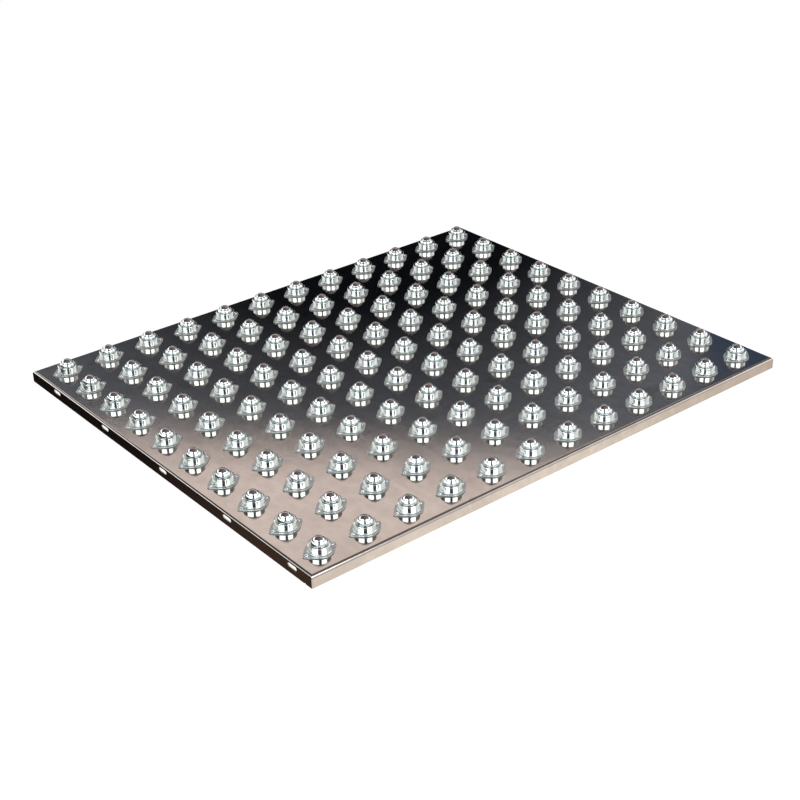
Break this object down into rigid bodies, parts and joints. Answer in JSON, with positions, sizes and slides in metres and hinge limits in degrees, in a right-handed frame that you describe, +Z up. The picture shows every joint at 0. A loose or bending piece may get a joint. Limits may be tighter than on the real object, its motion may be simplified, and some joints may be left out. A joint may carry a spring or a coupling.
{
  "type": "ball transfer platform",
  "caption": "Shallow folded steel tray with a square grid of flange-mounted ball transfer units, so that a flat load can be pushed and turned by hand in any direction.",
  "frame": {"origin": "middle of the tray, at the level of the flanges' lower edges", "axes": "+X along a row of units (the tray's long side), +Y from row to row, +Z up out of the balls"},
  "size_m": [1.214, 1.008, 0.0555],
  "materials": {
    "deck_sheet": "cold-rolled sheet, half-mirror with faint wipe marks",
    "housing_zinc": "bright zinc plate on pressed steel",
    "cap_zinc": "bright zinc plate on pressed steel",
    "cup_hardened": "hardened and oiled",
    "seal_felt": "oiled grey felt",
    "load_ball_steel": "polished",
    "bearing_ball_steel": "polished",
    "rivet_alloy": "drawn, semi-bright"
  },
  "bodies": {
    "deck": {"deck_tray": "deck_sheet", "ball_housings_row_01": "housing_zinc", "ball_housings_row_02": "housing_zinc", "ball_housings_row_03": "housing_zinc", "ball_housings_row_04": "housing_zinc", "ball_housings_row_05": "housing_zinc", "ball_housings_row_06": "housing_zinc", "ball_housings_row_07": "housing_zinc", "ball_housings_row_08": "housing_zinc", "ball_housings_row_09": "housing_zinc", "ball_housings_row_10": "housing_zinc", "dome_caps_row_01": "cap_zinc", "dome_caps_row_02": "cap_zinc", "dome_caps_row_03": "cap_zinc", "dome_caps_row_04": "cap_zinc", "dome_caps_row_05": "cap_zinc", "dome_caps_row_06": "cap_zinc", "dome_caps_row_07": "cap_zinc", "dome_caps_row_08": "cap_zinc", "dome_caps_row_09": "cap_zinc", "dome_caps_row_10": "cap_zinc", "race_cups_row_01": "cup_hardened", "race_cups_row_02": "cup_hardened", "race_cups_row_03": "cup_hardened", "race_cups_row_04": "cup_hardened", "race_cups_row_05": "cup_hardened", "race_cups_row_06": "cup_hardened", "race_cups_row_07": "cup_hardened", "race_cups_row_08": "cup_hardened", "race_cups_row_09": "cup_hardened", "race_cups_row_10": "cup_hardened", "wiper_seals_row_01": "seal_felt", "wiper_seals_row_02": "seal_felt", "wiper_seals_row_03": "seal_felt", "wiper_seals_row_04": "seal_felt", "wiper_seals_row_05": "seal_felt", "wiper_seals_row_06": "seal_felt", "wiper_seals_row_07": "seal_felt", "wiper_seals_row_08": "seal_felt", "wiper_seals_row_09": "seal_felt", "wiper_seals_row_10": "seal_felt", "bearing_balls_rows_01_02": "bearing_ball_steel", "bearing_balls_rows_03_04": "bearing_ball_steel", "bearing_balls_rows_05_06": "bearing_ball_steel", "bearing_balls_rows_07_08": "bearing_ball_steel", "bearing_balls_rows_09_10": "bearing_ball_steel", "blind_rivets": "rivet_alloy"},
    "ball_row_01": {"load_balls_row_01": "load_ball_steel"},
    "ball_row_02": {"load_balls_row_02": "load_ball_steel"},
    "ball_row_03": {"load_balls_row_03": "load_ball_steel"},
    "ball_row_04": {"load_balls_row_04": "load_ball_steel"},
    "ball_row_05": {"load_balls_row_05": "load_ball_steel"},
    "ball_row_06": {"load_balls_row_06": "load_ball_steel"},
    "ball_row_07": {"load_balls_row_07": "load_ball_steel"},
    "ball_row_08": {"load_balls_row_08": "load_ball_steel"},
    "ball_row_09": {"load_balls_row_09": "load_ball_steel"},
    "ball_row_10": {"load_balls_row_10": "load_ball_steel"}
  },
  "joints": [
    {"name": "ball_row_01_spin", "type": "hinge", "parent": "deck", "child": "ball_row_01", "pos_m": [0, -0.45, 0.0428], "axis": [1, 0, 0], "continuous": true},
    {"name": "ball_row_02_spin", "type": "hinge", "parent": "deck", "child": "ball_row_02", "pos_m": [0, -0.35, 0.0428], "axis": [1, 0, 0], "continuous": true},
    {"name": "ball_row_03_spin", "type": "hinge", "parent": "deck", "child": "ball_row_03", "pos_m": [0, -0.25, 0.0428], "axis": [1, 0, 0], "continuous": true},
    {"name": "ball_row_04_spin", "type": "hinge", "parent": "deck", "child": "ball_row_04", "pos_m": [0, -0.15, 0.0428], "axis": [1, 0, 0], "continuous": true},
    {"name": "ball_row_05_spin", "type": "hinge", "parent": "deck", "child": "ball_row_05", "pos_m": [0, -0.05, 0.0428], "axis": [1, 0, 0], "continuous": true},
    {"name": "ball_row_06_spin", "type": "hinge", "parent": "deck", "child": "ball_row_06", "pos_m": [0, 0.05, 0.0428], "axis": [1, 0, 0], "continuous": true},
    {"name": "ball_row_07_spin", "type": "hinge", "parent": "deck", "child": "ball_row_07", "pos_m": [0, 0.15, 0.0428], "axis": [1, 0, 0], "continuous": true},
    {"name": "ball_row_08_spin", "type": "hinge", "parent": "deck", "child": "ball_row_08", "pos_m": [0, 0.25, 0.0428], "axis": [1, 0, 0], "continuous": true},
    {"name": "ball_row_09_spin", "type": "hinge", "parent": "deck", "child": "ball_row_09", "pos_m": [0, 0.35, 0.0428], "axis": [1, 0, 0], "continuous": true},
    {"name": "ball_row_10_spin", "type": "hinge", "parent": "deck", "child": "ball_row_10", "pos_m": [0, 0.45, 0.0428], "axis": [1, 0, 0], "continuous": true}
  ]
}
